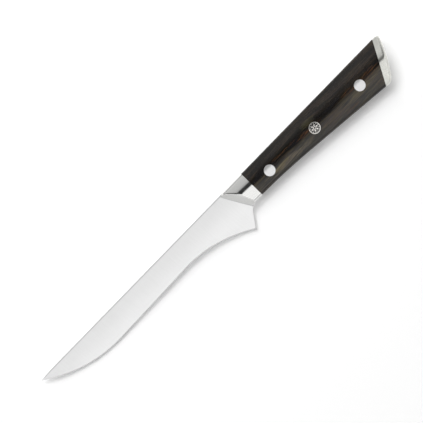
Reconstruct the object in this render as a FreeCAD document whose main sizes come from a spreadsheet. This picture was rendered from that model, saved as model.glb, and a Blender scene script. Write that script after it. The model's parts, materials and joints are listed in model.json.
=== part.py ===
import FreeCAD, Part
import math
import os
import Sketcher

# A full-tang boning knife, in millimetres and degrees.
#
# Every piece is drawn in the knife's own datum: X runs along the spine from the tip to the butt, Y points
# out of the spine (so the cutting edge is at negative Y) and Z points out of the left side, with the middle
# of the plate at Z = 0. One placement, shared by all the pieces, then lays the knife on the flat lower facet
# of its right side, with the origin under the middle of the knife.

SIZES = {
    # blade
    "blade_length": 150.0,        # tip to heel
    "heel_depth": 28.2,           # spine to the point of the heel
    "waist_at": 105.0,            # where the edge starts to swoop down to the heel
    "waist_depth": 15.4,
    "belly_at": 50.0,             # where the edge starts to curve up to the tip
    "belly_depth": 16.4,
    "tip_drop": 0.6,              # how far the spine comes down at the tip
    "tip_run": 12.0,              # over this length
    "plate_thickness": 2.4,       # blade plate and tang
    "edge_thickness": 0.2,        # left by the grind at the cutting edge
    "grind_radius": 270.0,        # grinding wheel
    "grind_heel_depth": 24.4,     # how deep below the spine the wheel runs at the heel
    "bevel_angle": 15.0,          # of the sharpened bevel on each side of the edge
    "bevel_edge": 0.04,           # left between the two bevels
    "bevel_over": 0.5,            # how far the sharpening wedge stands out of the edge
    "heel_slope": 54.0,           # back of the heel against the spine
    "choil_radius": 9.0,          # round notch between the heel and the grip
    # plunge, the slanted face where the grind ends and the bolster rises
    "plunge_lead": 1.9,           # how far ahead of the heel it meets the spine
    "plunge_slant": 31.0,         # lean in the side view
    "plunge_steepness": 55.0,     # of its face against the side of the blade
    "plunge_round": 1.2,          # rounding of its upper edge
    # outline of the grip
    "bolster_length": 18.65,      # plunge to the front of the scales, along the spine
    "grip_length": 108.95,        # front of the scales to the cap, along the spine
    "grip_depth_front": 17.15,    # just behind the choil
    "grip_bend_at": 38.0,         # behind the front of the scales, where the belly starts to run straight
    "grip_depth_bend": 19.35,
    "grip_depth_rear": 25.0,      # at the lower end of the cap joint
    "cap_slant": 29.05,           # joint between the scales and the cap, off square
    "cap_length": 4.3,            # along the spine
    "cap_top_drop": 1.0,          # how far the spine falls over the cap
    "cap_bow_radius": 80.0,       # outer face of the cap
    "cap_foot": 1.8,              # straight belly of the cap, ahead of its round corner
    "cap_corner_radius": 4.5,
    # section of the grip, at one station ahead of the heel and one behind the butt
    "station_lead": 4.0,
    "ridge_depth_front": 7.2,     # spine to the ridge that runs along each side
    "ridge_depth_rear": 12.25,
    "ridge_half_front": 6.9,      # middle of the plate to the ridge
    "ridge_half_rear": 9.6,
    "spine_tilt_front": 38.0,     # lean of the curved upper facet, at the spine and at the ridge
    "spine_tilt_rear": 30.0,
    "ridge_tilt_front": 6.0,
    "ridge_tilt_rear": 9.0,
    "facet_tilt": 13.0,           # lean of the flat lower facet
    "crown": 0.05,                # of the section above the spine, so that its rounding meets it softly
    "spine_round": 3.0,
    "ridge_round": 6.5,
    "belly_round": 2.0,           # less than the other two, which it crosses at the cap
    # rivets and mosaic pin
    "pin_first": 13.05,           # first pin behind the front of the scales
    "pin_last": 24.2,             # last pin ahead of the cap, along the spine
    "pin_depth_front": 10.45,     # spine to the first pin
    "pin_depth_rear": 13.55,      # spine to the last pin
    "pin_fit": 0.02,              # radial clearance of a pin in its hole
    "head_diameter": 6.8,
    "head_seat": 4.2,             # middle of the plate to the shoulder under a head
    "barrel_diameter": 4.8,
    "shank_diameter": 3.2,
    "barrel_short": 0.3,          # gap between the mouth of the barrel and the male head
    "mosaic_diameter": 7.0,
    "mosaic_wall": 0.45,
    "wire_diameter": 0.55,
    "rod_diameter": 1.0,
    "core_bore_share": 0.58,      # bore of the core tube, as a share of its diameter
    "filling_gap": 0.175,         # resin between one ring of the mosaic and the next
    # joints between the pieces
    "bond_thickness": 0.15,
    "tongue_reach": 2.4,          # tongue of the tang into the cap
    "tongue_top": 6.5,            # spine to the upper side of the tongue
    "tongue_height": 10.0,
    "braze_gap": 0.03,
    "spare": 45.0,                # how far blanks and cutting tools reach past the knife
}
ROD_COUNT = 6
WIRE_COUNT = 12

doc = FreeCAD.newDocument("boning_knife")
sheet = doc.addObject("Spreadsheet::Sheet", "Dims")
for row, (alias, value) in enumerate(SIZES.items(), start=1):
    sheet.set(f"A{row}", alias)
    sheet.set(f"B{row}", str(value))
    sheet.setAlias(f"B{row}", alias)
doc.recompute()


# ---- expressions ----

def spell(text):
    """Spell out an expression in which each size is in square brackets, as in '[blade_length] / 2'."""
    return text.replace("[", "Dims.").replace("]", "")


def number(text):
    """The value that such an expression has now, which a sketch needs as its starting shape."""
    return float(sheet.evalExpression(spell(text)))


def bind(thing, **properties):
    for prop, text in properties.items():
        thing.setExpression(prop, spell(text))


def place(x="0", y="0", z="0", yaw="0", pitch="0", roll="0"):
    return f"placement(vector({x}; {y}; {z}); rotation({yaw}; {pitch}; {roll}))"


PLATE_HALF = "([plate_thickness] / 2)"
SCALE_INNER = f"({PLATE_HALF} + [bond_thickness])"
PLUNGE_AT = "([blade_length] - [plunge_lead])"
JOINT_AT = f"({PLUNGE_AT} + [bolster_length])"
CAP_AT = f"({JOINT_AT} + [grip_length])"
BUTT_AT = f"({CAP_AT} + [cap_length])"
CAP_FOOT_AT = f"({CAP_AT} - [grip_depth_rear] * tan([cap_slant]))"
BEND_AT = f"({JOINT_AT} + [grip_bend_at])"
BELLY_SLOPE = f"(([grip_depth_rear] - [grip_depth_bend]) / ({CAP_FOOT_AT} - {BEND_AT}))"
FRONT_STATION = "([blade_length] - [station_lead])"
REAR_STATION = f"({BUTT_AT} + [station_lead])"
FACET_RISE = (
    "(([ridge_half_rear] - [ridge_half_front]"
    " + ([ridge_depth_rear] - [ridge_depth_front]) * tan([facet_tilt]))"
    f" / ({REAR_STATION} - {FRONT_STATION}))"
)
FACET_PITCH = f"atan({FACET_RISE} * cos([facet_tilt]))"
REST_HEIGHT = (
    "(([ridge_depth_front] * sin([facet_tilt]) + [ridge_half_front] * cos([facet_tilt]))"
    f" * cos({FACET_PITCH}) - {FRONT_STATION} * sin({FACET_PITCH}))"
)
REST_PLACE = place(
    f"-{BUTT_AT} / 2", "[heel_depth] * cos([facet_tilt]) / 2", REST_HEIGHT,
    pitch=f"-{FACET_PITCH}", roll="[facet_tilt]",
)
FIRST_PIN_AT = f"({JOINT_AT} + [pin_first])"
LAST_PIN_AT = f"({CAP_AT} - [pin_last])"
PIN_PLACES = {
    "front": (FIRST_PIN_AT, "(-[pin_depth_front])"),
    "middle": (f"(({FIRST_PIN_AT} + {LAST_PIN_AT}) / 2)", "(-([pin_depth_front] + [pin_depth_rear]) / 2)"),
    "rear": (LAST_PIN_AT, "(-[pin_depth_rear])"),
}


# ---- sketches and simple solids ----

def new_sketch(body, name, role="XY_Plane", offset="0"):
    plane = next(item for item in body.Origin.OriginFeatures if item.Role == role)
    sketch = body.newObject("Sketcher::SketchObject", name)
    sketch.AttachmentSupport = (plane, [""])
    sketch.MapMode = "FlatFace"
    bind(sketch, AttachmentOffset=place(z=offset))
    return sketch


def hold(sketch, kind, places, text):
    """Add a constraint whose value is an expression. Sketcher takes an angle's starting value in radians."""
    start = math.radians(number(text)) if kind == "Angle" else number(text)
    index = sketch.addConstraint(Sketcher.Constraint(kind, *places, start))
    name = f"{kind}{index}"
    sketch.renameConstraint(index, name)
    bind(sketch, **{f"Constraints.{name}": text})


class Wire:
    """A closed outline in a sketch. Edge i runs from corner i to the next one; an edge with a bend is an arc
    that starts out through that point."""

    def __init__(self, sketch, corners, bends=None):
        self.sketch = sketch
        self.corners = [FreeCAD.Vector(x, y, 0) for x, y in corners]
        self.edges = []
        for index, start in enumerate(self.corners):
            end = self.corners[(index + 1) % len(self.corners)]
            if bends and index in bends:
                shape = Part.Arc(start, FreeCAD.Vector(*bends[index], 0), end)
            else:
                shape = Part.LineSegment(start, end)
            self.edges.append(sketch.addGeometry(shape))

    def end_at(self, edge, corner):
        """Sketcher's number for the end of this edge that lies at this corner."""
        first, second = (self.sketch.getPoint(self.edges[edge], end) for end in (1, 2))
        target = self.corners[corner]
        return 1 if first.distanceToPoint(target) < second.distanceToPoint(target) else 2

    def join(self, smooth=()):
        """Close the outline, with the edges tangent at the corners named."""
        for corner in range(len(self.corners)):
            before = (corner - 1) % len(self.corners)
            kind = "Tangent" if corner in smooth else "Coincident"
            self.sketch.addConstraint(Sketcher.Constraint(
                kind, self.edges[before], self.end_at(before, corner), self.edges[corner],
                self.end_at(corner, corner)))

    def fix(self, corner, x=None, y=None):
        spot = (-1, 1, self.edges[corner], self.end_at(corner, corner))
        if x is not None:
            hold(self.sketch, "DistanceX", spot, x)
        if y is not None:
            hold(self.sketch, "DistanceY", spot, y)

    def radius(self, edge, text):
        hold(self.sketch, "Radius", (self.edges[edge],), text)


def arc_through(start, heading, end):
    """Middle of the arc that leaves start along heading and arrives at end."""
    chord = FreeCAD.Vector(end[0] - start[0], end[1] - start[1], 0)
    along = FreeCAD.Vector(chord).normalize()
    toward = FreeCAD.Vector(*heading, 0).normalize()
    across = toward - along * toward.dot(along)
    rise = chord.Length / 2 * across.Length / (1 + toward.dot(along))
    middle = FreeCAD.Vector(*start, 0) + chord / 2 + across.normalize() * rise
    return middle.x, middle.y


def circles_meet(first, first_radius, second, second_radius):
    """Where two circles cross, on the left as seen from the first centre towards the second."""
    across = second - first
    along = (first_radius ** 2 - second_radius ** 2 + across.Length ** 2) / (2 * across.Length)
    aside = math.sqrt(first_radius ** 2 - along ** 2)
    ahead = FreeCAD.Vector(across).normalize()
    return first + ahead * along + FreeCAD.Vector(-ahead.y, ahead.x, 0) * aside


def draw_polygon(sketch, corners, bends=None):
    """Close an outline through corners that are pairs of expressions."""
    wire = Wire(sketch, [(number(x), number(y)) for x, y in corners], bends)
    wire.join()
    for corner, (x, y) in enumerate(corners):
        wire.fix(corner, x, y)
    return wire


def polygon_pad(name, corners, length, offset="0", middle=False):
    """A straight-sided blank, drawn in the plane of the plate."""
    body = doc.addObject("PartDesign::Body", name)
    sketch = new_sketch(body, name + "_outline", offset=offset)
    draw_polygon(sketch, corners)
    pad = body.newObject("PartDesign::Pad", name + "_pad")
    pad.Profile = sketch
    pad.Midplane = middle
    bind(pad, Length=length)
    return body


def cylinder(name, radius, bottom, height, x, y):
    rod = doc.addObject("Part::Cylinder", name)
    bind(rod, Radius=radius, Height=height, Placement=place(x, y, bottom))
    return rod


def mirrored(source, name):
    """The same thing on the other side of the plate."""
    copy = doc.addObject("Part::Mirroring", name)
    copy.Source = source
    copy.Normal = FreeCAD.Vector(0, 0, 1)
    return copy


def common(name, *shapes):
    result = doc.addObject("Part::MultiCommon", name)
    result.Shapes = list(shapes)
    return result


def fused(name, *shapes):
    result = doc.addObject("Part::MultiFuse", name)
    result.Shapes = list(shapes)
    result.Refine = True
    return result


def cut(name, base, *tools):
    result = doc.addObject("Part::Cut", name)
    result.Base = base
    result.Tool = tools[0] if len(tools) == 1 else fused(name + "_tools", *tools)
    return result


# ---- the outline of the whole knife ----

def draw_outline(sketch):
    heel = (number("[blade_length]"), -number("[heel_depth]"))
    bend = (number(BEND_AT), -number("[grip_depth_bend]"))
    slope = number(BELLY_SLOPE)
    foot_x = number(f"{CAP_FOOT_AT} + [cap_foot]")
    foot = (foot_x, bend[1] - slope * (foot_x - bend[0]))
    butt = FreeCAD.Vector(number(BUTT_AT), -number("[cap_top_drop]"), 0)
    bow, corner = number("[cap_bow_radius]"), number("[cap_corner_radius]")
    corner_centre = FreeCAD.Vector(*foot, 0) + FreeCAD.Vector(slope, 1, 0).normalize() * corner
    bow_centre = circles_meet(corner_centre, bow - corner, butt, bow)
    cap_low = bow_centre + (corner_centre - bow_centre).normalize() * bow
    cap_middle = bow_centre + ((butt + cap_low) / 2 - bow_centre).normalize() * bow
    heel_sin = number("sin([heel_slope])")
    heel_cos = number("cos([heel_slope])")
    notch_drop = number("[choil_radius]") * (1 - heel_cos)
    back_foot_y = -number("[grip_depth_front]") - notch_drop
    back_foot = (heel[0] + (back_foot_y - heel[1]) * heel_cos / heel_sin, back_foot_y)
    notch_end = (back_foot[0] + number("[choil_radius]") * heel_sin, -number("[grip_depth_front]"))
    waist = (number("[waist_at]"), -number("[waist_depth]"))
    belly = (number("[belly_at]"), -number("[belly_depth]"))
    middle_run = (belly[0] - waist[0], belly[1] - waist[1])
    tip = (0.0, -number("[tip_drop]"))
    spine_start = (number("[tip_run]"), 0.0)
    spine_end = (number(CAP_AT), 0.0)
    corners = [
        tip, spine_start, spine_end, butt[:2], cap_low[:2], foot, bend, notch_end, back_foot, heel,
        waist, belly,
    ]
    bends = {
        0: arc_through(spine_start, (-1, 0), tip),
        2: arc_through(spine_end, (1, 0), butt),
        3: cap_middle[:2],
        4: arc_through(foot, (1, -slope), cap_low),
        6: arc_through(bend, (-1, slope), notch_end),
        7: arc_through(notch_end, (-1, 0), back_foot),
        9: arc_through(waist, (-middle_run[0], -middle_run[1]), heel),
        11: arc_through(belly, middle_run, tip),
    }
    wire = Wire(sketch, corners, bends)
    wire.join(smooth=(1, 2, 4, 5, 6, 7, 8, 10, 11))
    wire.fix(0, "0", "-[tip_drop]")
    wire.fix(1, "[tip_run]", "0")
    wire.fix(2, CAP_AT, "0")
    wire.fix(3, BUTT_AT, "-[cap_top_drop]")
    wire.radius(3, "[cap_bow_radius]")
    wire.radius(4, "[cap_corner_radius]")
    wire.fix(5, f"{CAP_FOOT_AT} + [cap_foot]",
             f"-([grip_depth_bend] + ({CAP_FOOT_AT} + [cap_foot] - {BEND_AT}) * {BELLY_SLOPE})")
    wire.fix(6, BEND_AT, "-[grip_depth_bend]")
    wire.fix(7, y="-[grip_depth_front]")
    wire.radius(7, "[choil_radius]")
    hold(sketch, "Angle", (wire.edges[8],), "[heel_slope] - 180")
    wire.fix(9, "[blade_length]", "-[heel_depth]")
    wire.fix(10, "[waist_at]", "-[waist_depth]")
    wire.fix(11, "[belly_at]", "-[belly_depth]")


knife_block = doc.addObject("PartDesign::Body", "knife_block")
block_outline = new_sketch(knife_block, "knife_outline")
draw_outline(block_outline)
block_pad = knife_block.newObject("PartDesign::Pad", "block_pad")
block_pad.Profile = block_outline
block_pad.Midplane = True
bind(block_pad, Length="4 * [ridge_half_rear]")


# ---- the form that the bolster, scales, rivets and cap are ground to together ----

def side_section(sketch, end):
    """Half of the grip's section: the curved upper facet, and a line that clears the flat lower one."""
    depth, half = f"[ridge_depth_{end}]", f"[ridge_half_{end}]"
    spine_tilt, ridge_tilt = f"[spine_tilt_{end}]", f"[ridge_tilt_{end}]"
    radius = f"({depth} / (sin({spine_tilt}) - sin({ridge_tilt})))"
    centre_x = f"(-{depth} - {radius} * sin({ridge_tilt}))"
    centre_y = f"({half} - {radius} * cos({ridge_tilt}))"
    over = "[crown]"
    foot = "-([grip_depth_rear] + 3)"
    low_x = f"({centre_x} - {radius} * sin([facet_tilt]))"
    low_y = f"({centre_y} + {radius} * cos([facet_tilt]))"
    high_y = f"({centre_y} + sqrt({radius} * {radius} - ({over} - {centre_x}) * ({over} - {centre_x})))"
    foot_y = f"({low_y} - ({low_x} - ({foot})) * tan([facet_tilt]))"
    corners = [(over, high_y), (low_x, low_y), (foot, foot_y), (foot, "0"), (over, "0")]
    top = (number(centre_x), number(f"{centre_y} + {radius}"))
    draw_polygon(sketch, corners, {0: top}).radius(0, radius)


def plunge_box(name, ahead, steepness):
    """A block past the tip whose end face leans like the plunge and lies this far ahead of it."""
    box = doc.addObject("Part::Box", name)
    meeting = place(f"{PLUNGE_AT} - {ahead}", "0", PLATE_HALF,
                    yaw="[plunge_slant]", pitch=f"90 - {steepness}")
    corner = place("-2 * [blade_length]", "-[blade_length]", "-[blade_length]")
    side = "2 * [blade_length]"
    bind(box, Length=side, Width=side, Height=side, Placement=f"{meeting} * {corner}")
    return box


def body_around(name, base):
    body = doc.addObject("PartDesign::Body", name)
    body.BaseFeature = base
    doc.recompute()
    return body


def round_edges(body, name, radius, wanted):
    """Round the outer edges along the body whose middle passes the test."""
    base = body.Tip
    names = []
    for index, edge in enumerate(base.Shape.Edges, start=1):
        box = edge.BoundBox
        if box.ZMin > 1 and box.XLength > 1 and wanted(edge.valueAt(sum(edge.ParameterRange) / 2)):
            names.append(f"Edge{index}")
    fillet = body.newObject("PartDesign::Fillet", name)
    fillet.Base = (base, names)
    bind(fillet, Radius=radius)
    doc.recompute()


def make_left_form():
    section = doc.addObject("PartDesign::Body", "grip_section")
    sketches = []
    for end, station in (("front", FRONT_STATION), ("rear", REAR_STATION)):
        sketches.append(new_sketch(section, f"section_{end}", "YZ_Plane", station))
        side_section(sketches[-1], end)
    loft = section.newObject("PartDesign::AdditiveLoft", "section_loft")
    loft.Profile = sketches[0]
    loft.Sections = sketches[1:]
    loft.Ruled = True
    facet = doc.addObject("Part::Box", "lower_facet")
    ridge = place(FRONT_STATION, "-[ridge_depth_front]", "[ridge_half_front]", roll="[facet_tilt]")
    lean = place(pitch=f"-{FACET_PITCH}")
    corner = place("-[spare]", "-[spare]", "-[spare]")
    bind(facet, Length="[blade_length] + [grip_length]", Width="2 * [spare]", Height="[spare]",
         Placement=f"{ridge} * {lean} * {corner}")
    bar = body_around("grip_bar", common("faceted_bar", section, facet))
    ridge_low, ridge_high = -number("[ridge_depth_rear]"), -number("[ridge_depth_front]")
    round_edges(bar, "ridge_rounding", "[ridge_round]", lambda middle: ridge_low < middle.y < ridge_high)
    round_edges(bar, "spine_rounding", "[spine_round]", lambda middle: middle.y > 0)
    outlined = common("outlined_form", knife_block, bar)
    form = body_around("left_form", cut("trimmed_form", outlined, plunge_box("form_front", "1.5", "90")))
    round_edges(form, "belly_rounding", "[belly_round]",
                lambda middle: middle.y < -number("[grip_depth_front]"))
    return form


left_form = make_left_form()
right_form = mirrored(left_form, "right_form")


# ---- grinding and sharpening the blade ----

GRIND_SLANT = "atan(([grind_heel_depth] - [belly_depth]) / ([blade_length] - [belly_at]))"
wheel = doc.addObject("Part::Cylinder", "grinding_wheel")
wheel_start = place("[belly_at]", "-[belly_depth]", "[grind_radius] + [edge_thickness] / 2",
                    yaw=f"-{GRIND_SLANT}", pitch="90")
bind(wheel, Radius="[grind_radius]", Height="[blade_length] + 2 * [spare]",
     Placement=f"{wheel_start} * {place(z='-([belly_at] + [spare])')}")
left_grind = common("left_grind", wheel, plunge_box("plunge", "0", "[plunge_steepness]"))
right_grind = mirrored(left_grind, "right_grind")


def make_stone():
    """The sweep of a stone that takes the sharpened bevel off the left side, all along the edge."""
    body = doc.addObject("PartDesign::Body", "stone_section")
    section = new_sketch(body, "stone_outline", "YZ_Plane", "[belly_at]")
    outside = "(-[belly_depth] - [bevel_over])"
    low = "([bevel_edge] / 2 - [bevel_over] * tan([bevel_angle]))"
    high = "([plate_thickness] / 4)"
    inside = f"(-[belly_depth] + ({high} - [bevel_edge] / 2) / tan([bevel_angle]))"
    draw_polygon(section, [(outside, low), (outside, high), (inside, high)])
    doc.recompute()
    names = []
    for index, edge in enumerate(block_outline.Shape.Edges, start=1):
        middle = edge.valueAt(sum(edge.ParameterRange) / 2)
        if middle.x < number("[blade_length]") and middle.y < -number("[tip_drop]"):
            names.append(f"Edge{index}")
    stone = doc.addObject("Part::Sweep", "left_stone")
    stone.Sections = [section]
    stone.Spine = (block_outline, names)
    stone.Solid = True
    return stone


left_stone = make_stone()
right_stone = mirrored(left_stone, "right_stone")


# ---- blanks for the lengths of the grip ----

OVER = "2"
UNDER = "(-[grip_depth_rear] - 4)"


def cap_joint(y, behind="0"):
    """The point of the slanted joint at this height, or the one this far behind it."""
    return f"{CAP_AT} + ({y}) * tan([cap_slant]) + {behind}", y


def scale_blank(name, start, length):
    corners = [(JOINT_AT, OVER), cap_joint(OVER), cap_joint(UNDER), (JOINT_AT, UNDER)]
    return polygon_pad(name, corners, length, start)


def behind_cap_joint(name, length):
    corners = [cap_joint(OVER), (f"{BUTT_AT} + 5", OVER), (f"{BUTT_AT} + 5", UNDER), cap_joint(UNDER)]
    return polygon_pad(name, corners, length, middle=True)


def tongue(name, gap, thickness):
    top = f"(-[tongue_top] + {gap})"
    bottom = f"(-[tongue_top] - [tongue_height] - {gap})"
    reach = f"([tongue_reach] + {gap})"
    corners = [cap_joint(top, "-5"), cap_joint(top, reach), cap_joint(bottom, reach), cap_joint(bottom, "-5")]
    return polygon_pad(name, corners, thickness, middle=True)


def pin_hole(name, where, diameter, bottom="-[spare]", height="2 * [spare]"):
    x, y = PIN_PLACES[where]
    return cylinder(name, f"{diameter} / 2 + [pin_fit]", bottom, height, x, y)


def pin_rod(name, where, diameter, bottom="-[spare]", height="2 * [spare]"):
    x, y = PIN_PLACES[where]
    return cylinder(name, f"{diameter} / 2", bottom, height, x, y)


# ---- the pieces ----

pieces = []


def piece(node, shape):
    """Name a finished shape and lay it down in the resting pose."""
    shape.Label = node
    bind(shape, Placement=REST_PLACE)
    pieces.append(shape)


def piece_on_each_side(name, shape):
    """A piece made on the left side, and its mirror image on the right."""
    piece(name + "_left", body_around(name + "_left_piece", shape))
    piece(name + "_right", mirrored(shape, name + "_right_piece"))


def make_blade():
    corners = [("-1", OVER), (f"{BUTT_AT} + 5", OVER), (f"{BUTT_AT} + 5", UNDER), ("-1", UNDER)]
    sheet_steel = polygon_pad("sheet_steel", corners, "[plate_thickness]", middle=True)
    plate = common("plate", knife_block, sheet_steel)
    off_tang = cut("off_tang", behind_cap_joint("tang_end", "2 * [plate_thickness]"),
                   tongue("tang_tongue", "0", "4 * [plate_thickness]"))
    holes = [
        pin_hole("tang_hole_front", "front", "[barrel_diameter]"),
        pin_hole("tang_hole_middle", "middle", "[mosaic_diameter]"),
        pin_hole("tang_hole_rear", "rear", "[barrel_diameter]"),
    ]
    profiled = cut("profiled_plate", plate, off_tang, *holes)
    ground = cut("ground_plate", profiled, left_grind, right_grind)
    piece("blade", cut("sharpened_plate", ground, left_stone, right_stone))


def make_bolsters():
    start = "[blade_length] - 2 * [station_lead]"
    corners = [(start, OVER), (JOINT_AT, OVER), (JOINT_AT, UNDER), (start, UNDER)]
    blank = polygon_pad("bolster_blank", corners, "[spare]", PLATE_HALF)
    cheek = body_around("cheek", cut("sharp_cheek", common("cheek_form", left_form, blank), left_grind))
    meeting = FreeCAD.Vector(number(PLUNGE_AT), 0, number(PLATE_HALF))
    lean = FreeCAD.Rotation(number("[plunge_slant]"), 90 - number("[plunge_steepness]"), 0)
    facing = lean.multVec(FreeCAD.Vector(1, 0, 0))
    round_edges(cheek, "plunge_rounding", "[plunge_round]",
                lambda middle: abs(facing.dot(middle - meeting)) < 0.01 and middle.z > meeting.z + 0.1)
    piece_on_each_side("bolster", cheek)


def make_scales():
    blank = scale_blank("wood_blank", SCALE_INNER, "[spare]")
    holes = [
        pin_hole("scale_hole_front", "front", "[barrel_diameter]"),
        pin_hole("scale_hole_middle", "middle", "[mosaic_diameter]"),
        pin_hole("scale_hole_rear", "rear", "[barrel_diameter]"),
        pin_hole("counterbore_front", "front", "[head_diameter]", "[head_seat]", "[spare]"),
        pin_hole("counterbore_rear", "rear", "[head_diameter]", "[head_seat]", "[spare]"),
    ]
    piece_on_each_side("scale", cut("drilled_scale", common("scale_form", left_form, blank), *holes))


def make_bonds():
    blank = scale_blank("film_blank", PLATE_HALF, "[bond_thickness]")
    film = common("film", knife_block, blank)
    holes = [
        pin_hole("film_hole_front", "front", "[barrel_diameter]"),
        pin_hole("film_hole_middle", "middle", "[mosaic_diameter]"),
        pin_hole("film_hole_rear", "rear", "[barrel_diameter]"),
    ]
    piece_on_each_side("bond", cut("drilled_film", film, *holes))


def make_cap():
    blank = behind_cap_joint("cap_blank", "2 * [spare]")
    halves = [common("cap_left", left_form, blank), common("cap_right", right_form, blank)]
    slot = tongue("tongue_slot", "[braze_gap]", "[plate_thickness] + 2 * [braze_gap]")
    piece("end_cap", cut("slotted_cap", fused("whole_cap", *halves), slot))


def make_rivet(where):
    """A two-piece cutler's rivet: the shank of the left half is pressed into the barrel of the right half."""
    mouth = "[head_seat] - [barrel_short]"
    left_head = common(f"{where}_left_head", left_form,
                       pin_rod(f"{where}_left_head_rod", where, "[head_diameter]", "[head_seat]", "[spare]"))
    shank = pin_rod(f"{where}_shank", where, "[shank_diameter]", f"-({mouth})", f"[head_seat] + {mouth}")
    piece(f"{where}_rivet_male", fused(f"{where}_male", left_head, shank))
    right_rod = pin_rod(f"{where}_right_head_rod", where, "[head_diameter]",
                        "-([head_seat] + [spare])", "[spare]")
    right_head = common(f"{where}_right_head", right_form, right_rod)
    barrel = pin_rod(f"{where}_barrel", where, "[barrel_diameter]", "-[head_seat]",
                     f"[head_seat] + {mouth}")
    bore = pin_hole(f"{where}_bore", where, "[shank_diameter]", "-[head_seat]", "2 * [head_seat]")
    solid_female = fused(f"{where}_solid_female", right_head, barrel)
    piece(f"{where}_rivet_female", cut(f"{where}_female", solid_female, bore))


MOSAIC_INSIDE = "([mosaic_diameter] - 2 * [mosaic_wall])"
WIRE_CIRCLE = f"({MOSAIC_INSIDE} - [wire_diameter] - 2 * [filling_gap])"
ROD_CIRCLE = f"({WIRE_CIRCLE} - [wire_diameter] - [rod_diameter] - 2 * [filling_gap])"
CORE_DIAMETER = f"({ROD_CIRCLE} - [rod_diameter] - 2 * [filling_gap])"


def ring_of_rods(name, count, diameter, circle):
    x, y = PIN_PLACES["middle"]
    rods = []
    for index in range(count):
        angle = f"({index} * 360 / {count})"
        rod_x, rod_y = f"{x} + {circle} / 2 * cos({angle})", f"{y} + {circle} / 2 * sin({angle})"
        rods.append(cylinder(f"{name}_{index}", f"{diameter} / 2", "-[spare]", "2 * [spare]", rod_x, rod_y))
    return fused(name, *rods)


def make_mosaic_pin():
    """A thin tube filled with a core tube, a ring of rods and a ring of wires, all cast in resin."""
    form = fused("pin_form", left_form, right_form)
    tube = cut("mosaic_shell", pin_rod("mosaic_outside", "middle", "[mosaic_diameter]"),
               pin_rod("mosaic_inside", "middle", MOSAIC_INSIDE))
    core = cut("core_shell", pin_rod("core_outside", "middle", CORE_DIAMETER),
               pin_rod("core_inside", "middle", f"({CORE_DIAMETER} * [core_bore_share])"))
    rods = ring_of_rods("rod_ring", ROD_COUNT, "[rod_diameter]", ROD_CIRCLE)
    wires = ring_of_rods("wire_ring", WIRE_COUNT, "[wire_diameter]", WIRE_CIRCLE)
    resin = cut("resin_fill", pin_rod("resin_rod", "middle", MOSAIC_INSIDE), core, rods, wires)
    fillings = {"tube": tube, "core": core, "rods": rods, "wires": wires, "resin": resin}
    for name, filling in fillings.items():
        piece(f"mosaic_{name}", common(f"trimmed_{name}", filling, form))


make_blade()
make_bolsters()
make_scales()
make_bonds()
make_cap()
make_rivet("front")
make_rivet("rear")
make_mosaic_pin()
doc.recompute()

for item in doc.Objects:
    if "Invalid" in item.State or "Error" in item.State:
        raise RuntimeError(f"{item.Name} failed: {item.State}")
for item in pieces:
    if item.Shape.isNull() or not item.Shape.isValid():
        raise RuntimeError(f"{item.Label} has no valid shape")
os.makedirs("parts", exist_ok=True)
for item in pieces:
    item.Shape.exportStep(f"parts/{item.Label}.step")
    print(item.Label, len(item.Shape.Solids), round(item.Shape.Volume, 1))
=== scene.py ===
import json
import math

import bpy
from mathutils import Matrix, Vector

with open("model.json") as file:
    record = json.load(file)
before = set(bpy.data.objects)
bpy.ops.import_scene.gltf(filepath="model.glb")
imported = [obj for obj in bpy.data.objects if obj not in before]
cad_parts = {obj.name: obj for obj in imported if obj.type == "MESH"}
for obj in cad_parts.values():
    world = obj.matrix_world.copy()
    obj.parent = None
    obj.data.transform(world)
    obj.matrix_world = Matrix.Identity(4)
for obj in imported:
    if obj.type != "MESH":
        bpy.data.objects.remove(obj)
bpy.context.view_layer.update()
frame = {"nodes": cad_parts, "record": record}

nodes = frame["nodes"]
scene = bpy.context.scene
millimetre = 0.001


# The knife's own axes run along the spine to the butt, out of the spine, and out of the left side.
def findKnifeSpace():
    facing = {mount["name"]: Vector(mount["axis"]) for mount in frame["record"]["mounts"]}
    out = (facing["rest_left"] - facing["rest_right"]).normalized()
    along = Vector((0, 1, 0)).cross(out).normalized()
    up = out.cross(along)
    corners = [vertex.co for vertex in nodes["blade"].data.vertices]
    levels = [corner.dot(out) for corner in corners]
    space = Matrix((along, up, out)).transposed().to_4x4()
    space.translation = (
        along * min(corner.dot(along) for corner in corners)
        + up * max(corner.dot(up) for corner in corners)
        + out * (min(levels) + max(levels)) / 2
    )
    return space


knifeSpace = findKnifeSpace()
print("knife axes found")


# A socket among the inputs is linked, and anything else is set as the input's value.
def addNode(tree, kind, inputs=None, **settings):
    node = tree.nodes.new(kind)
    for key, value in settings.items():
        setattr(node, key, value)
    for key, value in (inputs or {}).items():
        if isinstance(value, bpy.types.NodeSocket):
            tree.links.new(value, node.inputs[key])
        else:
            node.inputs[key].default_value = value
    return node


def addGroup(tree, group, inputs):
    return addNode(tree, "ShaderNodeGroup", inputs, node_tree=group).outputs


def doMath(tree, operation, *values):
    return addNode(tree, "ShaderNodeMath", dict(enumerate(values)), operation=operation).outputs[0]


def doVectorMath(tree, operation, *values):
    return addNode(tree, "ShaderNodeVectorMath", dict(enumerate(values)), operation=operation).outputs[0]


# Each part is a value and the share of it that is added.
def addParts(tree, total, *parts):
    for value, share in parts:
        total = doMath(tree, "MULTIPLY_ADD", value, share, total)
    return total


# The two ends become the two results, with an eased run between them unless it is linear.
def remap(tree, value, ends, results=(0.0, 1.0), kind="SMOOTHSTEP"):
    node = addNode(tree, "ShaderNodeMapRange", {
        "Value": value, "From Min": ends[0], "From Max": ends[1],
        "To Min": results[0], "To Max": results[1],
    }, interpolation_type=kind)
    return node.outputs["Result"]


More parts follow.
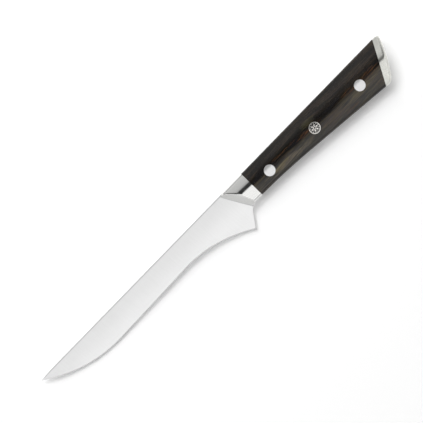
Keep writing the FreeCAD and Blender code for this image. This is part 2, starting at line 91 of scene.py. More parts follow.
def noise(tree, place, size=1.0, detail=2.0, roughness=0.5):
    node = addNode(tree, "ShaderNodeTexNoise", {
        "Vector": place, "Scale": 1 / size, "Detail": detail, "Roughness": roughness})
    return node.outputs["Fac"]


# One unit of the result is this many of the units that came in, along each axis.
def stretch(tree, place, sizes, shift=(0, 0, 0), turn=(0, 0, 0)):
    node = addNode(tree, "ShaderNodeMapping", {
        "Vector": place, "Location": shift, "Rotation": turn, "Scale": [1 / size for size in sizes]})
    return node.outputs[0]


def mixColors(tree, amount, first, second, blend="MIX"):
    node = addNode(tree, "ShaderNodeMix", {0: amount, 6: first, 7: second},
                   data_type="RGBA", blend_type=blend)
    return node.outputs[2]


def mixValues(tree, amount, first, second):
    return addNode(tree, "ShaderNodeMix", {0: amount, 2: first, 3: second}).outputs[0]


def joinColor(tree, red, green, blue):
    return addNode(tree, "ShaderNodeCombineColor", {0: red, 1: green, 2: blue}).outputs[0]


def gray(level):
    return (level, level, level, 1)


def makeGroup(name, inputs, outputs):
    group = bpy.data.node_groups.new(name, "ShaderNodeTree")
    for label, (kind, value) in inputs.items():
        socket = group.interface.new_socket(label, in_out="INPUT", socket_type=kind)
        if value is not None:
            socket.default_value = value
    for label in outputs:
        group.interface.new_socket(label, in_out="OUTPUT", socket_type="NodeSocketFloat")
    return group, addNode(group, "NodeGroupInput").outputs, addNode(group, "NodeGroupOutput").inputs


groundLinesSettings = {
    "detail": 3.0, "roughness": 0.65,
    "streakSize": (3, 7, 7), "streakShift": (5.3, 2.1, 8.7), "streakRoughness": 0.6,  # the size is in lines
}
linesRange = (0.2, 0.8)      # where most of the lines lie
streaksRange = (0.25, 0.75)  # and the streaks


# Fine parallel lines left by a belt, a stone or a buff, with the wider streaks that go with them.
def makeGroundLines():
    made = groundLinesSettings
    group, given, result = makeGroup("groundLines", {
        "Place": ("NodeSocketVector", None),
        "Turn": ("NodeSocketFloat", 0.0),
        "Spacing": ("NodeSocketFloat", 0.1),
        "Reach": ("NodeSocketFloat", 6.0),
    }, ["Lines", "Streaks"])
    turn = addNode(group, "ShaderNodeCombineXYZ", {"Z": given["Turn"]}).outputs[0]
    turned = addNode(group, "ShaderNodeMapping", {"Vector": given["Place"], "Rotation": turn}).outputs[0]
    fine = doMath(group, "DIVIDE", 1.0, given["Spacing"])
    long = doMath(group, "DIVIDE", 1.0, given["Reach"])
    scale = addNode(group, "ShaderNodeCombineXYZ", {"X": long, "Y": fine, "Z": fine}).outputs[0]
    drawn = doVectorMath(group, "MULTIPLY", turned, scale)
    group.links.new(noise(group, drawn, 1.0, made["detail"], made["roughness"]), result["Lines"])
    wide = stretch(group, drawn, made["streakSize"], made["streakShift"])
    group.links.new(noise(group, wide, 1.0, made["detail"], made["streakRoughness"]), result["Streaks"])
    return group


handlingSettings = {
    "cloudDetail": 4.0, "cloudRoughness": 0.55,
    "scratches": ((0.5, 3.1), (-0.9, 7.7), (1.8, 12.9)),  # the direction of each set, and its shift
    "scratchSize": (1.3, 0.09, 0.09), "scratchWidth": 0.05,
    "patchSize": 0.6, "patchEdge": 0.08,                  # the patches that hold scratches
}
cloudRange = (0.3, 0.7)  # where most of the cloud lies


# Cloudy patches from wiping and polishing, and a few hairline scratches.
def makeHandlingMarks():
    made = handlingSettings
    group, given, result = makeGroup("handlingMarks", {
        "Place": ("NodeSocketVector", None),
        "Size": ("NodeSocketFloat", 12.0),
        "Sparse": ("NodeSocketFloat", 0.55),
    }, ["Cloud", "Scratches"])
    size = addNode(group, "ShaderNodeCombineXYZ", {axis: given["Size"] for axis in "XYZ"}).outputs[0]
    place = doVectorMath(group, "DIVIDE", given["Place"], size)
    group.links.new(noise(group, place, 1.0, made["cloudDetail"], made["cloudRoughness"]), result["Cloud"])
    patchEnds = (given["Sparse"], doMath(group, "ADD", given["Sparse"], made["patchEdge"]))
    scratches = 0.0
    for angle, shift in made["scratches"]:
        lines = stretch(group, place, made["scratchSize"], (shift, shift, 0), (0, 0, angle))
        edge = addNode(group, "ShaderNodeTexVoronoi", {"Vector": lines, "Scale": 1.0},
                       feature="DISTANCE_TO_EDGE").outputs["Distance"]
        hair = remap(group, edge, (made["scratchWidth"], 0.0))
        here = noise(group, stretch(group, place, (1, 1, 1), (shift, 0, shift)), made["patchSize"], 1.0)
        kept = doMath(group, "MULTIPLY", hair, remap(group, here, patchEnds))
        scratches = doMath(group, "MAXIMUM", scratches, kept)
    group.links.new(scratches, result["Scratches"])
    return group


groundLines = makeGroundLines()
handlingMarks = makeHandlingMarks()


# A new material with a Principled shader, and coordinates in millimetres along the knife's own axes.
def newMaterial(name, **values):
    material = bpy.data.materials.new(name)
    material.use_nodes = True
    tree = material.node_tree
    tree.nodes.clear()
    shader = addNode(tree, "ShaderNodeBsdfPrincipled", values)
    addNode(tree, "ShaderNodeOutputMaterial", {"Surface": shader.outputs[0]})
    place = addNode(tree, "ShaderNodeMapping", {
        "Vector": addNode(tree, "ShaderNodeTexCoord").outputs["Object"],
        "Location": knifeSpace.translation,
        "Rotation": knifeSpace.to_euler(),
        "Scale": (millimetre, millimetre, millimetre),
    }, vector_type="TEXTURE")
    return material, tree, shader, place.outputs[0]


def addLines(tree, place, made):
    return addGroup(tree, groundLines, {
        "Place": place, "Turn": math.radians(made["lineTurn"]),
        "Spacing": made["lineSpacing"], "Reach": made["lineReach"]})


def addMarks(tree, place, made):
    return addGroup(tree, handlingMarks, {
        "Place": place, "Size": made["markSize"], "Sparse": made["markSparse"]})


# The depth is that of one unit of the relief, in millimetres.
def addBump(tree, shader, relief, depth):
    bump = addNode(tree, "ShaderNodeBump", {
        "Height": relief, "Distance": depth * millimetre, "Strength": 1.0})
    tree.links.new(bump.outputs[0], shader.inputs["Normal"])


def dress(material, names):
    for name in names:
        mesh = nodes[name].data
        mesh.materials.clear()
        mesh.materials.append(material)


# How far a surface leans away from the side of the knife: 0 up to the first angle, and 1 from the second.
def leanMask(tree, angles):
    normal = addNode(tree, "ShaderNodeTexCoord").outputs["Normal"]
    out = knifeSpace.to_3x3().col[2]
    facing = addNode(tree, "ShaderNodeVectorMath", {0: normal, 1: out}, operation="DOT_PRODUCT")
    level = doMath(tree, "ABSOLUTE", facing.outputs["Value"])
    return remap(tree, level, [math.cos(math.radians(angle)) for angle in angles])


bladeSettings = {
    "spineShadeLevel": 0.5, "middleLevel": 0.775, "edgeLightLevel": 0.86,  # painted shade at the spine, the steel's own level, and painted light towards the edge
    "spineShadeHeights": (-0.3, -1.1),     # heights over which the painted shade along the spine fades out
    "edgeLightHeights": (-2, -17),    # where the painted light towards the edge starts, and where it is full
    # the sharpened bevel is painted darker, a painted shade that holds down its reflection
    "bevelShadeLevel": 0.68, "bevelRoughness": 0.26,
    "bevelLean": (9, 13),          # only the sharpened bevel leans this far
    "lineTurn": 86, "lineSpacing": 0.09, "lineReach": 9.0, "lineDepth": 0.0012,
    "streakTones": (0.975, 1.02), "cloudTones": (-0.012, 0.012),
    "roughness": (0.295, 0.385), "cloudRoughness": 0.04, "scratchRoughness": 0.08, "scratchDepth": 0.6,
    "markSize": 22.0, "markSparse": 0.6,
    "nodes": ["blade"],
}


def makeBladeSteel():
    made = bladeSettings
    material, tree, shader, place = newMaterial("bladeSteel", Metallic=1.0)
    lines = addLines(tree, place, made)
    marks = addMarks(tree, place, made)
    height = addNode(tree, "ShaderNodeSeparateXYZ", {0: place}).outputs["Y"]
    spine, middle, edge = (gray(made[name]) for name in ("spineShadeLevel", "middleLevel", "edgeLightLevel"))
    # Painted shade darkens the blade along the spine, and painted light brightens it towards the edge.
    spineShaded = mixColors(tree, remap(tree, height, made["spineShadeHeights"]), spine, middle)
    edgeLit = mixColors(tree, remap(tree, height, made["edgeLightHeights"]), spineShaded, edge)
    tone = doMath(tree, "ADD", remap(tree, lines["Streaks"], streaksRange, made["streakTones"], "LINEAR"),
                  remap(tree, marks["Cloud"], cloudRange, made["cloudTones"], "LINEAR"))
    shaded = mixColors(tree, 1.0, edgeLit, joinColor(tree, tone, tone, tone), "MULTIPLY")
    # The sharpened bevel gets a painted shade in its color, and its own roughness.
    bevel = leanMask(tree, made["bevelLean"])
    tree.links.new(mixColors(tree, bevel, shaded, gray(made["bevelShadeLevel"])), shader.inputs["Base Color"])
    rough = addParts(tree, remap(tree, lines["Lines"], linesRange, made["roughness"], "LINEAR"),
                     (marks["Cloud"], made["cloudRoughness"]), (marks["Scratches"], made["scratchRoughness"]))
    tree.links.new(mixValues(tree, bevel, rough, made["bevelRoughness"]), shader.inputs["Roughness"])
    relief = addParts(tree, lines["Lines"], (marks["Scratches"], -made["scratchDepth"]))
    addBump(tree, shader, relief, made["lineDepth"])
    dress(material, made["nodes"])


# The levels and the roughness run between two values, and "blue" is what share of the level the blue keeps.
polishShared = {
    "lineTurn": 4, "lineSpacing": 0.12, "lineReach": 7.0, "lineRoughness": 0.03,
    "markSize": 7.0, "markSparse": 0.58, "scratchRoughness": 0.12, "scratchDepth": 0.8,
}
polishSettings = {
    "polishedSteel": {
        **polishShared, "levels": (0.75, 0.79), "blue": 0.98, "roughness": (0.08, 0.15),
        "lineDepth": 0.0005, "nodes": ["bolster_left", "bolster_right"],
    },
    "satinSteel": {
        **polishShared, "levels": (0.70, 0.74), "blue": 0.94, "roughness": (0.23, 0.30),
        "lineDepth": 0.0008, "nodes": ["end_cap"],
    },
}


def makePolishedSteel(name, made):
    material, tree, shader, place = newMaterial(name, Metallic=1.0)
    lines = addLines(tree, place, made)
    marks = addMarks(tree, place, made)
    tone = remap(tree, lines["Streaks"], streaksRange, made["levels"], "LINEAR")
    blue = doMath(tree, "MULTIPLY", tone, made["blue"])
    tree.links.new(joinColor(tree, tone, tone, blue), shader.inputs["Base Color"])
    rough = addParts(tree, remap(tree, marks["Cloud"], cloudRange, made["roughness"], "LINEAR"),
                     (lines["Lines"], made["lineRoughness"]), (marks["Scratches"], made["scratchRoughness"]))
    tree.links.new(rough, shader.inputs["Roughness"])
    relief = addParts(tree, lines["Lines"], (marks["Scratches"], -made["scratchDepth"]))
    addBump(tree, shader, relief, made["lineDepth"])
    dress(material, made["nodes"])


rivetSettings = {
    "levels": (0.84, 0.92), "roughness": (0.35, 0.45), "cloudRoughness": 0.06,
    "lineTurn": 12, "lineSpacing": 0.08, "lineReach": 4.0, "lineDepth": 0.0015,
    "markSize": 3.0, "markSparse": 0.56, "scratchDepth": 0.8,
    "nodes": ["front_rivet_male", "front_rivet_female", "rear_rivet_male", "rear_rivet_female"],
}


def makeRivetSteel():
    made = rivetSettings
    material, tree, shader, place = newMaterial("rivetSteel", Metallic=1.0)
    lines = addLines(tree, place, made)
    marks = addMarks(tree, place, made)
    tone = remap(tree, lines["Streaks"], streaksRange, made["levels"], "LINEAR")
    tree.links.new(joinColor(tree, tone, tone, tone), shader.inputs["Base Color"])
    rough = addParts(tree, remap(tree, lines["Lines"], linesRange, made["roughness"], "LINEAR"),
                     (marks["Cloud"], made["cloudRoughness"]))
    tree.links.new(rough, shader.inputs["Roughness"])
    relief = addParts(tree, lines["Lines"], (marks["Scratches"], -made["scratchDepth"]))
    addBump(tree, shader, relief, made["lineDepth"])
    dress(material, made["nodes"])


pinMetalSettings = {
    "colors": ((0.86, 0.84, 0.8, 1), (0.72, 0.7, 0.66, 1)), "roughness": (0.32, 0.46),
    "lineTurn": 12, "lineSpacing": 0.06, "lineReach": 3.0, "lineDepth": 0.0012,
    "markSize": 2.0, "markSparse": 0.56,
    "nodes": ["mosaic_tube", "mosaic_core", "mosaic_rods", "mosaic_wires"],
}


def makePinMetal():
    made = pinMetalSettings
    material, tree, shader, place = newMaterial("pinMetal", Metallic=1.0)
    lines = addLines(tree, place, made)
    marks = addMarks(tree, place, made)
    tint = mixColors(tree, remap(tree, marks["Cloud"], cloudRange), *made["colors"])
    tree.links.new(tint, shader.inputs["Base Color"])
    rough = remap(tree, lines["Lines"], linesRange, made["roughness"], "LINEAR")
    tree.links.new(rough, shader.inputs["Roughness"])
    addBump(tree, shader, lines["Lines"], made["lineDepth"])
    dress(material, made["nodes"])


resinSettings = {
    "colors": ((0.010, 0.009, 0.009, 1), (0.035, 0.03, 0.027, 1)), "roughness": (0.2, 0.34),
    "speckSize": 0.12, "speckRange": (0.6, 0.75),
    "markSize": 1.5, "markSparse": 0.55, "depth": 0.004,
    "nodes": ["mosaic_resin"],
}


def makePinResin():
    made = resinSettings
    material, tree, shader, place = newMaterial("pinResin")
    marks = addMarks(tree, place, made)
    specks = remap(tree, noise(tree, place, made["speckSize"]), made["speckRange"])
    tree.links.new(mixColors(tree, specks, *made["colors"]), shader.inputs["Base Color"])
    rough = remap(tree, marks["Cloud"], cloudRange, made["roughness"], "LINEAR")
    tree.links.new(rough, shader.inputs["Roughness"])
    addBump(tree, shader, doMath(tree, "ADD", marks["Cloud"], specks), made["depth"])
    dress(material, made["nodes"])


bondSettings = {
    "colors": ((0.020, 0.014, 0.010, 1), (0.045, 0.03, 0.018, 1)), "roughness": (0.25, 0.4),
    "markSize": 3.0, "markSparse": 0.55, "depth": 0.01,
    "nodes": ["bond_left", "bond_right"],
}


def makeBondFilm():
    made = bondSettings
    material, tree, shader, place = newMaterial("epoxyFilm")
    marks = addMarks(tree, place, made)
    tint = mixColors(tree, remap(tree, marks["Cloud"], cloudRange), *made["colors"])
    tree.links.new(tint, shader.inputs["Base Color"])
    rough = remap(tree, marks["Cloud"], cloudRange, made["roughness"], "LINEAR")
    tree.links.new(rough, shader.inputs["Roughness"])
    addBump(tree, shader, marks["Cloud"], made["depth"])
    dress(material, made["nodes"])


# Sizes and the sway are in millimetres along the grain, across it and through the slab.
figureSettings = {
    "swaySize": (55, 14, 14), "sway": (0, 7, 7),  # how slowly the grain wanders, and how far
    "layers": {  # the size, the shift, the detail and the roughness of each
        "Bands": ((34, 3.2, 3.2), (0, 0, 0), 2.0, 0.5),
        "Streaks": ((22, 0.7, 0.7), (3, 9, 4), 3.0, 0.6),
        "Fibres": ((9, 0.3, 0.3), (7, 1, 6), 2.0, 0.6),
        "Licks": ((16, 0.4, 0.4), (4, 8, 1), 2.0, 0.6),
        "Casts": ((9, 1.7, 1.7), (8, 2, 9), 2.0, 0.6),
    },
    "poreSize": (2.4, 0.32, 0.32), "poreEdge": (0.26, 0.1),
    "crowdSize": (30, 2.5, 2.5), "crowdShift": (1, 5, 2), "crowdEdge": (0.42, 0.58),  # where pores crowd
}


# The figure of the wood: broad bands, streaks, fibres, fine brown licks, casts of color and open pores.
def makeWoodFigure():
    made = figureSettings
    group, given, result = makeGroup("woodFigure", {
        "Place": ("NodeSocketVector", None),
        "Slab": ("NodeSocketVector", None),
    }, [*made["layers"], "Pores"])
    moved = doVectorMath(group, "ADD", given["Place"], given["Slab"])
    sway = addNode(group, "ShaderNodeTexNoise", {
        "Vector": stretch(group, moved, made["swaySize"]), "Scale": 1.0, "Detail": 1.0}).outputs["Color"]
    pull = doVectorMath(group, "SUBTRACT", sway, (0.5, 0.5, 0.5))
    bent = doVectorMath(group, "MULTIPLY_ADD", pull, made["sway"], moved)
    for layer, (sizes, shift, detail, roughness) in made["layers"].items():
        drawn = stretch(group, bent, sizes, shift)
        group.links.new(noise(group, drawn, 1.0, detail, roughness), result[layer])
    cells = addNode(group, "ShaderNodeTexVoronoi", {
        "Vector": stretch(group, bent, made["poreSize"]), "Scale": 1.0}).outputs["Distance"]
    crowd = noise(group, stretch(group, bent, made["crowdSize"], made["crowdShift"]), 1.0, 1.0)
    pores = doMath(group, "MULTIPLY", remap(group, cells, made["poreEdge"]),
                   remap(group, crowd, made["crowdEdge"]))
    group.links.new(pores, result["Pores"])
    return group


patchSettings = {
    "fray": 3.0,        # how far the streaks draw out the rim
    "rim": (1.3, 0.1),  # where the patch starts and where it is full, counted from its middle
}


# A patch of the figure, strongest in its middle and drawn out into the streaks at its rim.
def makeWoodPatch():
    made = patchSettings
    group, given, result = makeGroup("woodPatch", {
        "Along": ("NodeSocketFloat", 0.0),
        "Below": ("NodeSocketFloat", 0.0),
        "Streaks": ("NodeSocketFloat", 0.5),
        "Middle": ("NodeSocketFloat", 200.0),
        "Depth": ("NodeSocketFloat", 0.0),
        "Reach": ("NodeSocketFloat", 10.0),
        "Width": ("NodeSocketFloat", 3.0),
    }, ["Amount"])
    along = doMath(group, "SUBTRACT", given["Along"], given["Middle"])
    along = doMath(group, "DIVIDE", along, given["Reach"])
    across = doMath(group, "SUBTRACT", given["Below"], given["Depth"])
    across = doMath(group, "DIVIDE", across, given["Width"])
    away = addParts(group, 0.0, (along, along), (across, across))
    streaks = doMath(group, "SUBTRACT", given["Streaks"], 0.5)
    frayed = addParts(group, away, (streaks, -made["fray"]))
    group.links.new(remap(group, frayed, made["rim"]), result["Amount"])
    return group


woodFigure = makeWoodFigure()
woodPatch = makeWoodPatch()
print("shared patterns made")

woodSettings = {
    # the spine colors are painted shade on the facet above the ridge, and the belly colors painted light on
    # the facet below it
    "spineShadeDark": (0.0062, 0.0052, 0.0045, 1), "spineShadeBrown": (0.020, 0.0140, 0.0100, 1),
    "bellyLitDark": (0.0250, 0.0232, 0.0198, 1), "bellyLitBrown": (0.057, 0.048, 0.038, 1),
    # the ridge color is a painted shade in a band along the ridge
    "ridge": (0.0135, 0.0130, 0.0130, 1), "pore": (0.003, 0.0025, 0.0022, 1),
    # the pale patches below the ridge are partly the wood's own figure and partly a painted highlight
    "creamAndSheen": (0.140, 0.116, 0.076, 1), "rose": (0.066, 0.048, 0.036, 1),
    "olive": (0.034, 0.030, 0.013, 1), "flame": (0.115, 0.056, 0.028, 1),
    "coolCast": (0.88, 0.86, 0.92, 1), "warmCast": (1.14, 1.1, 0.9, 1),
    "bandShare": 0.6, "spineRange": (0.42, 0.58), "bellyRange": (0.4, 0.6), "castRange": (0.4, 0.6),
    "bandSway": 7.0, "bellyLightStart": (0.6, 3.2),            # where the painted light below the ridge starts, and its sway
    "shadeLineMiddle": -0.6, "shadeLineEdges": (1.9, 0.2),          # the painted shade along the ridge, and its soft edges
    "shadeLineRange": (0.58, 0.42), "shadeLineStrength": (0.45, 0.95),
    "lickRange": (0.46, 0.6), "fibreRange": (0.25, 0.75), "fibreTones": (0.6, 1.4), "poreStrength": 0.7,
    "roughness": (0.22, 0.12), "poreRoughness": 0.2, "cloudRoughness": 0.08,
    "edgeLean": (36, 60), "edgeRoughness": 0.3, "ior": 1.45,
    "markSize": 14.0, "markSparse": 0.62,
    "gripFront": 146, "ridgeFront": 7.2,                  # where the grip starts, and the ridge's depth there
    "ridgeRise": 0.0346,                                  # how much the ridge comes up for each step back
    "ridgeEase": 0.2, "ridgeReach": 2.0,                  # how much the sanding takes off it, and how far out
    "crown": 60.0, "crownMiddle": 4.2,                    # the lower facet's radius across, and its middle
    "crownEase": 1.0,                                     # how softly it starts at the ridge
    "fibreDepth": 0.006, "poreDepth": 0.02,
}

# A patch has a color, and a patch or a flame then has its distance from the tip, its depth below the ridge,
# its reach, its width and its strength.
woodSlabs = {
    "scale_left": {
        "slab": (0.0, 0.0, 0.0),
        "patches": [
            ("creamAndSheen", 190, 5.2, 12, 1.7, 0.75), ("creamAndSheen", 204, 6.2, 9, 1.2, 0.5),
            ("rose", 228, 5.5, 10, 3.2, 0.8), ("creamAndSheen", 250, 5.0, 13, 2.6, 0.35),
            ("rose", 268, 9.5, 9, 2.4, 0.8), ("rose", 246, -6.0, 20, 2.0, 0.1),
            ("rose", 196, -4.5, 14, 1.5, 0.12), ("olive", 214, -2.6, 6, 1.9, 0.8),
        ],
        "flames": [
            (194, -0.5, 12, 0.8, 0.45), (212, 0.8, 10, 1.7, 0.9), (245, 0.6, 6, 1.5, 0.9),
            (261, 1.4, 8, 2.2, 0.9), (240, 9.0, 7, 1.0, 0.7),
        ],
    },
    "scale_right": {
        "slab": (140.0, 37.0, 21.0),
        "patches": [
            ("creamAndSheen", 236, 5.0, 18, 3.0, 0.8), ("rose", 186, 5.5, 12, 3.0, 0.7),
            ("rose", 262, 8.0, 10, 2.8, 0.6), ("rose", 214, -5.0, 18, 2.4, 0.3),
            ("olive", 200, 1.8, 8, 1.8, 0.6),
        ],
        "flames": [(206, 0.4, 12, 1.4, 0.7), (232, -0.6, 9, 1.2, 0.6), (256, 2.0, 7, 1.8, 0.9)],
    },
}


# The color of a slab, from its two grounds up to its pores: painted shade above the ridge, painted light
# below it, and painted shade along the ridge.
def paintWood(tree, made, board, figure, along, below):
    drawn = mixValues(tree, made["bandShare"], figure["Streaks"], figure["Bands"])
    spineTone = remap(tree, drawn, made["spineRange"])
    bellyTone = remap(tree, drawn, made["bellyRange"])
    spineShadeTint = mixColors(tree, spineTone, made["spineShadeDark"], made["spineShadeBrown"])
    bellyLitTint = mixColors(tree, bellyTone, made["bellyLitDark"], made["bellyLitBrown"])
    swayed = addParts(tree, below, (doMath(tree, "SUBTRACT", figure["Bands"], 0.5), made["bandSway"]))
    # Below the ridge the wood is painted lighter, painted light, and above it darker, painted shade.
    color = mixColors(tree, remap(tree, swayed, made["bellyLightStart"]), spineShadeTint, bellyLitTint)

    def patchAmount(middle, depth, reach, width, strength):
        amount = addGroup(tree, woodPatch, {
            "Along": along, "Below": below, "Streaks": figure["Streaks"],
            "Middle": middle, "Depth": depth, "Reach": reach, "Width": width,
        })["Amount"]
        return doMath(tree, "MULTIPLY", amount, strength)

    # Patches of the figure; the pale ones below the ridge are partly a painted highlight.
    for name, *patch in board["patches"]:
        color = mixColors(tree, patchAmount(*patch), color, made[name])
    # A painted shade darkens a band along the ridge, its strength varying with the casts.
    fromShadeLine = doMath(tree, "ABSOLUTE", doMath(tree, "SUBTRACT", swayed, made["shadeLineMiddle"]))
    ridgeShade = doMath(tree, "MULTIPLY", remap(tree, fromShadeLine, made["shadeLineEdges"]),
                      remap(tree, figure["Casts"], made["shadeLineRange"], made["shadeLineStrength"]))
    color = mixColors(tree, ridgeShade, color, made["ridge"])
    licks = remap(tree, figure["Licks"], made["lickRange"])
    for flame in board["flames"]:
        amount = doMath(tree, "MULTIPLY", patchAmount(*flame), licks)
        color = mixColors(tree, amount, color, made["flame"])
    fibre = remap(tree, figure["Fibres"], made["fibreRange"], made["fibreTones"], "LINEAR")
    color = mixColors(tree, 1.0, color, joinColor(tree, fibre, fibre, fibre), "MULTIPLY")
    casts = remap(tree, figure["Casts"], made["castRange"])
    cast = mixColors(tree, casts, made["coolCast"], made["warmCast"])
    color = mixColors(tree, 1.0, color, cast, "MULTIPLY")
    pores = doMath(tree, "MULTIPLY", figure["Pores"], made["poreStrength"])
    return mixColors(tree, pores, color, made["pore"])


# The relief of a slab, in millimetres: a softly sanded ridge, a slight crown below it, fibres and pores.
def shapeWood(tree, made, figure, below):
    bell = doMath(tree, "EXPONENT", doMath(
        tree, "MULTIPLY", doMath(tree, "MULTIPLY", below, below), -0.5 / made["ridgeReach"] ** 2))
    lower = doMath(tree, "SMOOTH_MAX", below, 0.0, made["crownEase"])
    across = doMath(tree, "SUBTRACT", lower, made["crownMiddle"])
    crown = doMath(tree, "MULTIPLY", doMath(tree, "MULTIPLY", across, across), -0.5 / made["crown"])
    return addParts(tree, crown, (bell, -made["ridgeEase"]),
                    (figure["Fibres"], made["fibreDepth"]), (figure["Pores"], -made["poreDepth"]))


def makeDarkWood(name, node, board):
    made = woodSettings
    material, tree, shader, place = newMaterial(name, IOR=made["ior"])
    figure = addGroup(tree, woodFigure, {"Place": place, "Slab": board["slab"]})
    marks = addMarks(tree, place, made)
    split = addNode(tree, "ShaderNodeSeparateXYZ", {0: place}).outputs
    ridge = doMath(tree, "MULTIPLY_ADD", split["X"], made["ridgeRise"],
                   made["ridgeFront"] - made["gripFront"] * made["ridgeRise"])
    below = doMath(tree, "MULTIPLY", doMath(tree, "ADD", split["Y"], ridge), -1.0)

    tree.links.new(paintWood(tree, made, board, figure, split["X"], below), shader.inputs["Base Color"])
    rough = addParts(tree, remap(tree, figure["Fibres"], made["fibreRange"], made["roughness"], "LINEAR"),
                     (figure["Pores"], made["poreRoughness"]), (marks["Cloud"], made["cloudRoughness"]),
                     (leanMask(tree, made["edgeLean"]), made["edgeRoughness"]))
    tree.links.new(rough, shader.inputs["Roughness"])
    addBump(tree, shader, shapeWood(tree, made, figure, below), 1.0)
    dress(material, [node])


makeBladeSteel()
for name, made in polishSettings.items():
    makePolishedSteel(name, made)
makeRivetSteel()
makePinMetal()
makePinResin()
makeBondFilm()
for node, board in woodSlabs.items():
    makeDarkWood("darkWood" + node.split("_")[1].capitalize(), node, board)
print("materials made")

floorSettings = {
    "size": 3.0,
    "color": 0.86,
    "lift": 0.28,  # how much brighter it looks, and shows in reflections, than it is lit
}


def makeFloor():
    made = floorSettings
    half = made["size"] / 2
    corners = [(-half, -half, 0), (half, -half, 0), (half, half, 0), (-half, half, 0)]
    mesh = bpy.data.meshes.new("floor")
    mesh.from_pydata(corners, [], [(0, 1, 2, 3)])
    floor = bpy.data.objects.new("floor", mesh)
    scene.collection.objects.link(floor)
    material = bpy.data.materials.new("paleFloor")
    material.use_nodes = True
    tree = material.node_tree
    tree.nodes.clear()
    diffuse = addNode(tree, "ShaderNodeBsdfDiffuse", {"Color": gray(made["color"])})
    path = addNode(tree, "ShaderNodeLightPath").outputs
    seen = doMath(tree, "MAXIMUM", path["Is Camera Ray"], path["Is Glossy Ray"])
    seen = doMath(tree, "MAXIMUM", seen, path["Is Transmission Ray"])
    glow = addNode(tree, "ShaderNodeEmission", {"Strength": doMath(tree, "MULTIPLY", seen, made["lift"])})
    both = addNode(tree, "ShaderNodeAddShader", {0: diffuse.outputs[0], 1: glow.outputs[0]})
    addNode(tree, "ShaderNodeOutputMaterial", {"Surface": both.outputs[0]})
    mesh.materials.append(material)


makeFloor()
print("floor made")

cameraSettings = {
    "aimAlong": 0.1392,   # from the tip, along the spine
    "aimBelow": 0.0029,   # below the spine
    "turn": 45.8,
    "width": 0.2455,      # of the view, at the knife
    "distance": 6.0,
}


def makeCamera():
    made = cameraSettings
    data = bpy.data.cameras.new("camera")
    data.angle = 2 * math.atan(made["width"] / 2 / made["distance"])
    camera = bpy.data.objects.new("camera", data)
    place = Matrix.Translation((made["aimAlong"], -made["aimBelow"], made["distance"]))
    camera.matrix_world = knifeSpace @ place @ Matrix.Rotation(-math.radians(made["turn"]), 4, "Z")
    scene.collection.objects.link(camera)
    scene.camera = camera


makeCamera()
print("camera set")

# Angles are from straight above the knife's side, positive towards the spine, and a tilt is towards the butt
# if it is negative. The level is how bright a lamp looks. The feather fades its long sides.
lampAimBelow = 0.01  # the lamps aim this far below the spine
lampSettings = {
    "spineBox": {
        "angle": 48, "away": 1.0, "along": 0.14, "length": 2.6, "width": 1.35, "level": 0.58,
        "feather": (0.0, 0.35, 0.9, 1.0), "sees": "gloss",
    },
    "bellyBox": {
        "angle": -34, "away": 1.0, "along": 0.14, "length": 2.6, "width": 0.66, "level": 1.05,
        "feather": (0.0, 0.1, 0.85, 1.0), "sees": "gloss", "skips": ["blade"],
    },
    "frontBox": {
        "angle": -2, "away": 0.8, "along": 0.05, "length": 1.2, "width": 0.9, "level": 1.03,
        "sees": "gloss", "only": bladeSettings["nodes"],
    },
    "tipBox": {
        "angle": -55, "tilt": 54, "away": 0.8, "along": 0.05, "length": 1.0, "width": 1.0, "level": 0.5,
        "sees": "gloss", "only": bladeSettings["nodes"],
    },
    "endBox": {
        "angle": 0, "tilt": -68, "away": 0.8, "along": 0.27, "length": 0.7, "width": 2.0, "level": 0.32,
        "sees": "gloss", "only": ["end_cap"],
    },
    "capBox": {
        "angle": 24, "away": 1.0, "along": 0.27, "length": 1.2, "width": 0.6, "level": 0.3,
        "sees": "gloss", "only": ["end_cap"],
    },
    "pinBox": {
        "angle": -2, "away": 0.8, "along": 0.2, "length": 1.2, "width": 0.9, "level": 0.2,
        "sees": "gloss", "only": rivetSettings["nodes"] + pinMetalSettings["nodes"],
    },
    "highWindow": {
        "angle": 30, "away": 2.0, "along": 0.14, "length": 1.2, "width": 1.2, "level": 4.6,
        "sees": "matt", "shadows": ["blade", "end_cap"],
    },
    "lowWindow": {
        "angle": 63, "away": 2.0, "along": 0.14, "length": 1.2, "width": 2.0, "level": 3.9,
        "sees": "matt", "shadows": ["blade"],
    },
}


def collect(name, names):
    group = bpy.data.collections.new(name)
    for node in names:
        group.objects.link(nodes[node])
    return group


# The feather gives where the light starts, where it is full, where it starts to fall and where it is out.
def featherLamp(data, feather):
    low, full, end, out = feather
    data.use_nodes = True
    tree = data.node_tree
    tree.nodes.clear()
    place = addNode(tree, "ShaderNodeNewGeometry").outputs["Parametric"]
    across = addNode(tree, "ShaderNodeSeparateXYZ", {0: place}).outputs["Y"]
    level = doMath(tree, "MULTIPLY", remap(tree, across, (low, full)), remap(tree, across, (out, end)))
    glow = addNode(tree, "ShaderNodeEmission", {"Strength": level})
    addNode(tree, "ShaderNodeOutputLight", {"Surface": glow.outputs[0]})


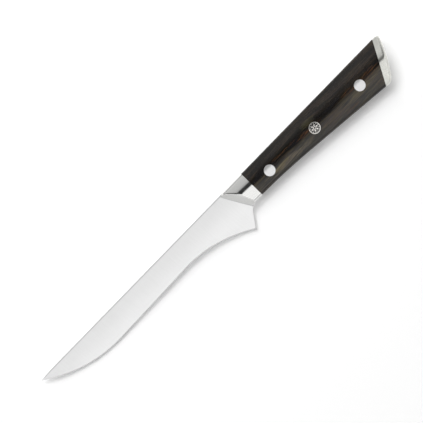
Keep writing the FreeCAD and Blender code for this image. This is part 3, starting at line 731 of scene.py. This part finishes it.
def makeLamp(name, made):
    data = bpy.data.lights.new(name, "AREA")
    data.shape = "RECTANGLE"
    data.size = made["length"]
    data.size_y = made["width"]
    data.energy = math.pi * made["length"] * made["width"] * made["level"]
    if "feather" in made:
        featherLamp(data, made["feather"])
    lamp = bpy.data.objects.new(name, data)
    middle = Matrix.Translation((made["along"], -lampAimBelow, 0))
    lean = Matrix.Rotation(-math.radians(made["angle"]), 4, "X")
    lean = lean @ Matrix.Rotation(-math.radians(made.get("tilt", 0)), 4, "Y")
    lamp.matrix_world = knifeSpace @ middle @ lean @ Matrix.Translation((0, 0, made["away"]))
    lamp.visible_camera = False
    lamp.visible_diffuse = made["sees"] == "matt"
    lamp.visible_glossy = made["sees"] == "gloss"
    scene.collection.objects.link(lamp)
    if "only" in made:
        lamp.light_linking.receiver_collection = collect(name + "Lights", made["only"])
    if "skips" in made:
        kept = [node for node in nodes if node not in made["skips"]]
        lamp.light_linking.receiver_collection = collect(name + "Lights", kept)
    if "shadows" in made:
        lamp.light_linking.blocker_collection = collect(name + "Shadows", made["shadows"])


for name, made in lampSettings.items():
    makeLamp(name, made)

roomSettings = {
    "low": 0.28, "high": 0.04, "wallEnds": (0.3, 0.95),  # the walls darken between these heights
    "backdropEnds": (0.12, 0.05),                        # where the white backdrop ends, and is full
    "fill": 0.4,                                         # how much of the room reaches matt surfaces
}


# A plain room that is darker overhead, with a white backdrop low down behind the floor.
def makeRoom():
    made = roomSettings
    world = bpy.data.worlds.new("studio")
    scene.world = world
    world.use_nodes = True
    tree = world.node_tree
    tree.nodes.clear()
    direction = addNode(tree, "ShaderNodeTexCoord").outputs["Generated"]
    rise = addNode(tree, "ShaderNodeSeparateXYZ", {0: direction}).outputs["Z"]
    walls = remap(tree, rise, made["wallEnds"], (made["low"], made["high"]))
    level = doMath(tree, "MAXIMUM", walls, remap(tree, rise, made["backdropEnds"]))
    matt = addNode(tree, "ShaderNodeLightPath").outputs["Is Diffuse Ray"]
    level = doMath(tree, "MULTIPLY", level, remap(tree, matt, (0, 1), (1.0, made["fill"])))
    glow = addNode(tree, "ShaderNodeBackground", {"Color": gray(1.0), "Strength": level})
    addNode(tree, "ShaderNodeOutputWorld", {"Surface": glow.outputs[0]})


makeRoom()
scene.view_settings.view_transform = "Standard"
print("lamps and room set")
